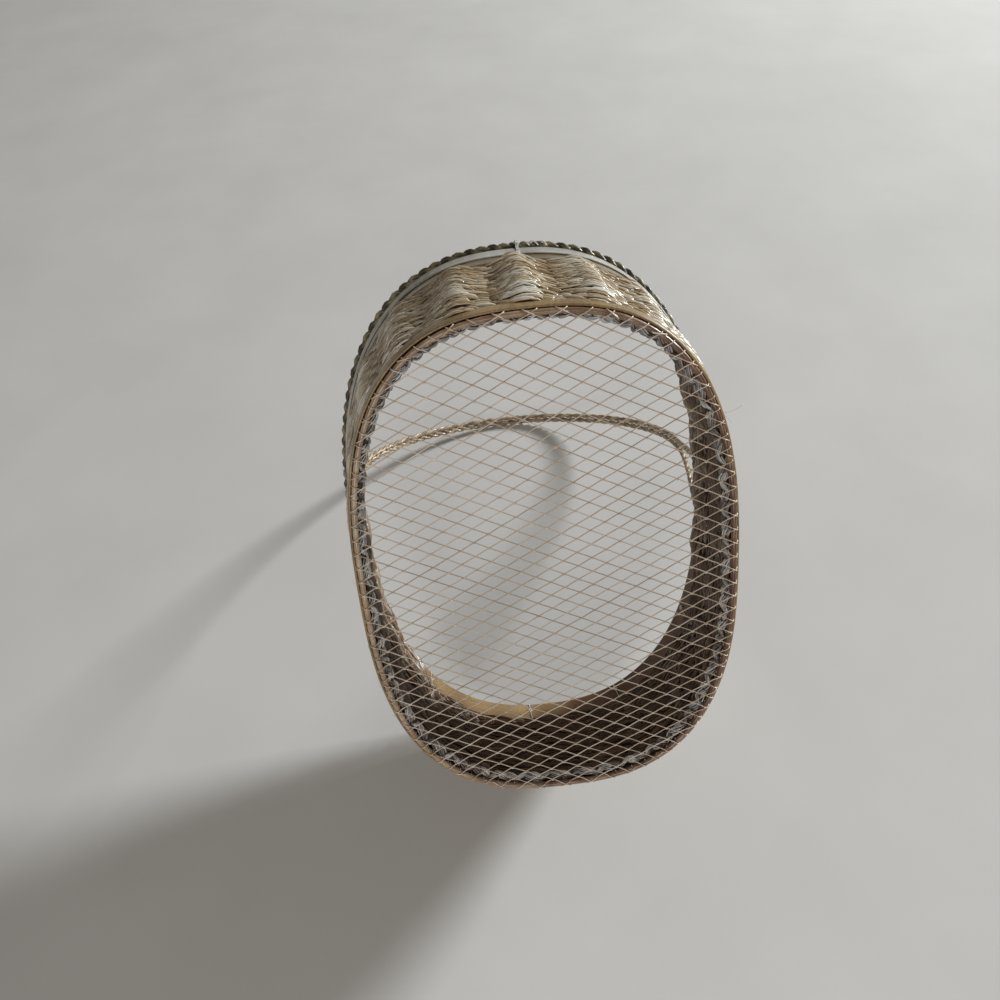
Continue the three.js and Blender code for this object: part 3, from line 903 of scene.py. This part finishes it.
def stakes():
    """The upright rods that the straw is woven round."""
    bundle = Bundle()
    for number in range(STAKE_COUNT):
        middle = np.linspace(STAKE_FOOT + STAKE_TAPER, RIM_HIGH[2] - STAKE_TAPER, 9)
        level = np.concatenate([[STAKE_FOOT], middle, [RIM_HIGH[2]]])
        share = np.full(len(level), number / STAKE_COUNT)
        radius = STAKE_RADIUS * (1 + wander(level / 100, 0.03))
        bundle.tube(oval(share, level), outward(share, level), radius, 10, tone=random.random())
    bundle.build("stakes", RATTAN, "rattan", *[f"stake_{i + 1:02d}" for i in range(STAKE_COUNT)])


# Rim


def rim_filler():
    """Straw that fills the slot between the two rim hoops."""
    bundle = Bundle()
    share = round_shares(FILLER_STEPS)
    for offset, depth in FILLER_STRANDS:
        place = offset + wander(share, 0.12)
        height = RIM_HIGH[2] - depth + wander(share, 0.3, (5, 17, 41, 83))
        tone = random.uniform(0.2, 0.8) + wander(share, 0.15)
        bundle.tube(oval(share, height, place), outward(share, height), FILLER_RADIUS, 6, True, 0.8, tone)
    bundle.build("rim_filler", STRAW, "straw")


def ply(bundle, axis, normal, side, radius, spin, closed, tone, painted_light_stripe):
    """One ply of a cord: a strand whose lobes, its fibres, turn with the spin. One side of it is painted
    paler, as a painted highlight.
    """
    base = TAU * np.arange(PLY_SIDES) / PLY_SIDES
    angle = base + spin[:, None]
    reach = radius[:, None] * (1 + PLY_LOBE_DEPTH * np.cos(PLY_LOBES * base))
    section = np.stack([reach * np.cos(base), reach * np.sin(base)], -1)
    arm_normal, arm_side = (reach * np.cos(angle))[..., None], (reach * np.sin(angle))[..., None]
    rings = axis[:, None] + arm_normal * normal[:, None] + arm_side * side[:, None]
    # Painted highlight: one side of each ply's section is painted paler, standing in for the lit faces of
    # its lobes.
    bundle.grid(rings, section, closed, tone[:, None] + painted_light_stripe * np.cos(base - 1.0))


def twisted_cord(bundle, centre, normal, side, share, radius, turns, closed, tones, painted_light_stripe, start=0.0):
    """Two plies twisted round each other, each with fibres that are twisted the other way."""
    ply_radius = PLY_SHARE * radius
    for number in range(2):
        angle = TAU * (turns * share + number / 2 + start)
        arm = np.cos(angle)[:, None] * normal + np.sin(angle)[:, None] * side
        axis = centre + (radius - ply_radius)[:, None] * arm
        tone = random.uniform(*tones) + 0.15 * np.sin(TAU * (9 * share + random.random()))
        ply(bundle, axis, normal, side, ply_radius, -TAU * turns * share, closed, tone, painted_light_stripe)


def rim_rope():
    """The twisted rope along the top edge of the rim's outer hoop."""
    level = (ROPE_LOW[2] + ROPE_HIGH[2]) / 2
    turns = round(ROPE_GIRTH / ROPE_PITCH)
    share = round_shares(turns * ROPE_STEPS_PER_TURN)
    centre = oval(share, RIM_HIGH[2] + 0 * share, ROPE_OFFSET + wander(share, 0.08))
    centre[:, 2] = level + wander(share, 0.08)
    normal = outward(share, RIM_HIGH[2])
    side = np.cross(unit(np.roll(centre, -1, 0) - np.roll(centre, 1, 0)), normal)
    bundle = Bundle()
    radius = ROPE_RADIUS * (1 + wander(share, 0.02))
    twisted_cord(bundle, centre, normal, side, share, radius, turns, True, (0.4, 0.6), 0.5)
    bundle.build("rim_rope_twist", ROPE, "rope", "rim_rope")


def smooth_loop(points, count):
    """A closed, rounded path through points, at even steps of a periodic cubic."""
    points = np.asarray(points, float)
    size = len(points)
    t = np.arange(count) * size / count
    i = np.floor(t).astype(int)
    u = (t - i)[:, None]
    p0, p1, p2, p3 = (points[(i + k) % size] for k in (-1, 0, 1, 2))
    square, cube = 2 * p0 - 5 * p1 + 4 * p2 - p3, 3 * p1 - p0 - 3 * p2 + p3
    return (2 * p1 + (p2 - p0) * u + square * u ** 2 + cube * u ** 3) / 2


def thread_loop(bundle, share, lean, route):
    """One turn of thread through (offset, level) points at one place on the rim."""
    place = smooth_loop(route, THREAD_STEPS)
    turn = round_shares(THREAD_STEPS)
    shares = share + lean * np.sin(TAU * turn)
    path = oval(shares, place[:, 1], place[:, 0])
    centre = path.mean(0)
    bundle.tube(path, path - centre, THREAD_RADIUS, 5, True, tone=random.random())


def thread_knot(bundle, share, offset, level, size, facing):
    """A small knot of thread."""
    turn = np.linspace(0, TAU, 40, endpoint=False)
    spot = oval(np.array([share]), level, offset)[0]
    out = facing * outward(np.array([share]), level)[0]
    across = np.cross(out, UP)
    wave = np.sin(turn) + 2 * np.sin(2 * turn)
    rise = np.cos(turn) - 2 * np.cos(2 * turn)
    deep = -np.sin(3 * turn)
    path = spot + size * (wave[:, None] * across + rise[:, None] * UP + 0.7 * deep[:, None] * out)
    bundle.tube(path, out, 1.5 * THREAD_RADIUS, 6, True, tone=0.8)


def rope_thread(bundle, share, turns):
    """A pale thread that lies along the rope's twist for part of a turn."""
    angle = np.linspace(-0.5, 0.5, 24) * TAU * turns
    shares = share + angle / TAU * ROPE_PITCH / ROPE_GIRTH
    level = (ROPE_LOW[2] + ROPE_HIGH[2]) / 2
    out, rise = np.cos(angle - 0.3), -np.sin(angle - 0.3)
    arm = out[:, None] * outward(shares, RIM_HIGH[2]) + rise[:, None] * UP
    centre = oval(shares, RIM_HIGH[2] + 0 * shares, ROPE_OFFSET)
    centre[:, 2] = level
    bundle.tube(centre + 0.98 * ROPE_RADIUS * arm, arm, 1.3 * THREAD_RADIUS, 6, tone=0.9)


def rim_ties():
    """Stitches with small knots on the inner hoop, and the thread that binds the trim's seam."""
    top, bottom, trim = RIM_HIGH[2], RIM_LOW[2], TRIM_LOW[2]
    stitch = [
        (-2.95, bottom + 2), (-2.95, bottom + 10), (-2.95, top - 1), (-2.2, top + 0.4),
        (-1.2, top - 1), (-1.15, bottom + 10), (-1.2, bottom + 1), (-2.2, bottom - 0.5)]
    binding = [
        (4.15, trim + 1), (4.15, trim + 6), (4.3, top - 0.4), (6.0, top + 0.7), (6.7, top + 2.9),
        (5.9, top + 4.6), (4.3, top + 5.1), (2.7, top + 4.5), (1.9, top + 2.9), (2.3, top),
        (2.5, trim + 6), (2.6, trim + 1), (3.4, trim - 0.4)]
    bundle = Bundle()
    for number in range(STAKE_COUNT // 2):
        share = (2 * number + 0.5) / STAKE_COUNT + random.uniform(-0.3, 0.3) / STAKE_COUNT
        thread_loop(bundle, share, 0.0006, stitch)
        level = bottom + 10 + random.uniform(-3, 3)
        thread_knot(bundle, share, -3.3, level, random.uniform(0.3, 0.45), -1)
    for turn in range(3):
        thread_loop(bundle, SEAM + 0.0008 * (turn - 1), 0.0004, binding)
    for shift in (-0.0035, 0.0045, 0.0105, 0.0165):
        rope_thread(bundle, SEAM + shift, 0.6)
    bundle.build("rim_ties", THREAD, "pale_cane")


# Handle


def handle_route(side_sign, steps, lowest):
    """The centre line of one handle cord, from its foot at one side over the crown to the other."""
    foot_share = np.array([side_sign / (2 * STAKE_COUNT)])
    rim_level = RIM_HIGH[2]
    foot = oval(foot_share, lowest)[0]
    rim = oval(foot_share, rim_level)[0]
    arch = HANDLE_SPAN / 2
    fork_height = HANDLE_FORK_SHARE * HANDLE_LEG_HEIGHT
    ease = HANDLE_EASE_SHARE * fork_height
    shoulder_level = rim_level + HANDLE_LEG_HEIGHT
    fork = np.array([arch, side_sign * CORD_SPREAD, rim_level + fork_height])
    start, end = rim + unit(rim - foot) * ease, fork - [0, 0, ease]
    t = np.linspace(0, 1, 200)[:, None]
    tuck = lerp(foot, rim, t[:-1])
    leg = (1 - t) ** 3 * rim + 3 * (1 - t) ** 2 * t * start + 3 * (1 - t) * t ** 2 * end + t ** 3 * fork
    upright = lerp(fork, np.array([arch, fork[1], shoulder_level]), t[1:])
    angle = np.linspace(0, math.pi / 2, 400)[1:, None]
    across, height = arch * np.cos(angle), shoulder_level + arch * np.sin(angle)
    crown = np.concatenate([across, 0 * angle + fork[1], height], 1)
    half = np.concatenate([tuck, leg, upright, crown])
    whole = np.concatenate([half, (half * [-1, 1, 1])[-2::-1]])
    length = np.concatenate([[0], np.cumsum(np.linalg.norm(np.diff(whole, axis=0), axis=1))])
    even = np.linspace(0, length[-1], steps)
    return np.stack([np.interp(even, length, whole[:, i]) for i in range(3)], 1), length[-1]


def handle():
    """Two cords side by side, each twisted round its own steel wire and narrower where it is tucked in."""
    along_y = np.array([0, 1.0, 0])
    for label, side_sign in (("front", -1), ("back", 1)):
        path, length = handle_route(side_sign, CORD_STEPS, RIM_HIGH[2] - CORD_TUCK)
        tangent = unit(np.gradient(path, axis=0))
        normal = unit(along_y - tangent[:, 1:2] * tangent)
        side = np.cross(tangent, normal)
        share = np.linspace(0, 1, len(path))
        neck = smooth_step((path[:, 2] - RIM_HIGH[2]) / CORD_NECK_HEIGHT)
        radius = CORD_RADIUS * lerp(CORD_NECK_SHARE, 1.0, neck)
        bundle = Bundle()
        turns = side_sign * length / CORD_PITCH
        start = 0.0 if side_sign < 0 else 0.25
        twisted_cord(bundle, path, normal, side, share, radius, turns, False, (0.35, 0.7), 0.15, start)
        bundle.build(f"handle_twist_{label}", CORD, "cord", f"handle_cord_{label}")
        core = Bundle()
        core_path = handle_route(side_sign, CORE_STEPS, RIM_HIGH[2] - CORE_TUCK)[0]
        core.tube(core_path, along_y, CORE_RADIUS, 8)
        core.build(f"handle_wire_{label}", STEEL, "core_wire", f"handle_core_{label}")


# Loose fibres that stand off the weave


def stray_fibres():
    """Short fibres at seeded places on the wall, and the long one at the photographed place."""
    bundle = Bundle()
    t = np.linspace(0, 1, 9)[:, None]
    for number in range(STRAY_COUNT):
        share = np.array([random.random()])
        level = random.uniform(WALL_LOW[2], WALL_HIGH[2])
        out = outward(share, level)[0]
        along = np.array([-out[1], out[0], 0]) * random.choice([-1, 1])
        start = oval(share, level, 2.1 + 0.8 * rib_height(share, 1) * stake_bump(share))[0]
        length = random.uniform(3, 9)
        bow = random.uniform(-0.5, 0.5) * UP + 0.55 * along
        path = start + length * (t * (0.62 * out + bow) + t ** 2 * (0.5 * along - 0.25 * out))
        bundle.tube(path, UP, 0.13 * (1 - 0.6 * t[:, 0]), 4, tone=random.uniform(0.6, 1))
    start = oval(np.array([0.905]), 6.0, 2.8)[0]
    path = start + 9 * (t * [0.95, -0.1, -0.15] + t ** 2 * [0.0, -0.25, 0.1])
    bundle.tube(path, UP, 0.14 * (1 - 0.5 * t[:, 0]), 4, tone=0.9)
    bundle.build("stray_fibres", STRAW, "straw")


# Stage


def floor():
    """The plain floor that the basket's rim and crown stand on."""
    up = Vector(FLOOR_UP).normalized()
    across = Vector((1, 0, 0)).cross(up).normalized()
    right = across.cross(up)
    mesh = bpy.data.meshes.new("floor")
    half = FLOOR_SIZE / 2
    signs = ((-1, -1), (1, -1), (1, 1), (-1, 1))
    corners = [Vector(FLOOR_POINT) + half * (i * right + j * across) for i, j in signs]
    mesh.from_pydata(corners, [], [(0, 1, 2, 3)])
    if mesh.polygons[0].normal.dot(up) < 0:
        mesh.flip_normals()
    mesh.materials.append(plain_floor())
    plane = bpy.data.objects.new("floor", mesh)
    bpy.context.scene.collection.objects.link(plane)


def area_light(name, direction, distance, size, power, colour):
    """A round soft light that faces the basket's middle from a direction."""
    lamp = bpy.data.lights.new(name, "AREA")
    lamp.shape = "DISK"
    lamp.size = size
    lamp.energy = power
    lamp.color = colour
    light = bpy.data.objects.new(name, lamp)
    target = Vector((cad_box[0] + cad_box[1]) / 2)
    light.location = target + Vector(direction).normalized() * distance
    light.rotation_euler = (light.location - target).to_track_quat("Z", "Y").to_euler()
    bpy.context.scene.collection.objects.link(light)


def studio():
    """The floor, a window on the right, a weak light from near the camera and an even warm world."""
    floor()
    area_light("window_light", direction=(0.82, -0.56, 0.14), distance=4.5,
               size=0.9, power=260.0, colour=(0.93, 0.97, 1.0))
    area_light("room_light", direction=(-0.12, 0.15, -0.98), distance=1.6,
               size=0.5, power=6.0, colour=(1.0, 0.99, 0.97))
    world = bpy.data.worlds.new("studio")
    bpy.context.scene.world = world
    world.use_nodes = True
    background = world.node_tree.nodes["Background"]
    background.inputs["Color"].default_value = (1.0, 0.95, 0.88, 1)
    background.inputs["Strength"].default_value = 0.2


def camera():
    """The camera at the photograph's place, as solved from it."""
    data = bpy.data.cameras.new("photo_camera")
    data.lens = CAMERA_LENS
    data.sensor_width = CAMERA_SENSOR
    data.clip_start = 0.01
    cam = bpy.data.objects.new("photo_camera", data)
    right, up = Vector(CAMERA_RIGHT), Vector(CAMERA_UP)
    back = right.cross(up)
    cam.matrix_world = Matrix.Translation(CAMERA_PLACE) @ Matrix((right, up, back)).transposed().to_4x4()
    bpy.context.scene.collection.objects.link(cam)
    bpy.context.scene.camera = cam


base_section = hoop_section(
    HOOP_FACE, HOOP_BACK + HOOP_CROWN, BAND_LOW[2] - BAND_OVERHANG, BAND_HIGH[2], ripple=0.12, lines=3)
outer_section = hoop_section(HOOP_FACE, HOOP_BACK + HOOP_CROWN, RIM_LOW[2], RIM_HIGH[2])
inner_section = hoop_section(-HOOP_BACK, -HOOP_FACE, RIM_LOW[2], RIM_HIGH[2])
trim_section = hoop_section(
    TRIM_FACE, TRIM_BACK + TRIM_PROUD, TRIM_LOW[2], TRIM_HIGH[2], ripple=0.12, lines=5)

camera()
studio()
base_rod(bottom_mesh())
flat_hoop("base_hoop", BROWN_CANE, "cane", "base_band", base_section)
braid()
stakes()
woven_wall()
flat_hoop("outer_hoop", OLIVE_CANE, "cane", "rim_outer_hoop", outer_section)
flat_hoop("inner_hoop", CANE, "cane", "rim_inner_hoop", inner_section, PAINTED_SHADE_DEPTH)
flat_hoop("trim_strip", PALE_CANE, "pale_cane", "rim_trim", trim_section)
rim_filler()
rim_rope()
rim_ties()
handle()
stray_fibres()

bpy.context.scene.view_settings.view_transform = "Standard"
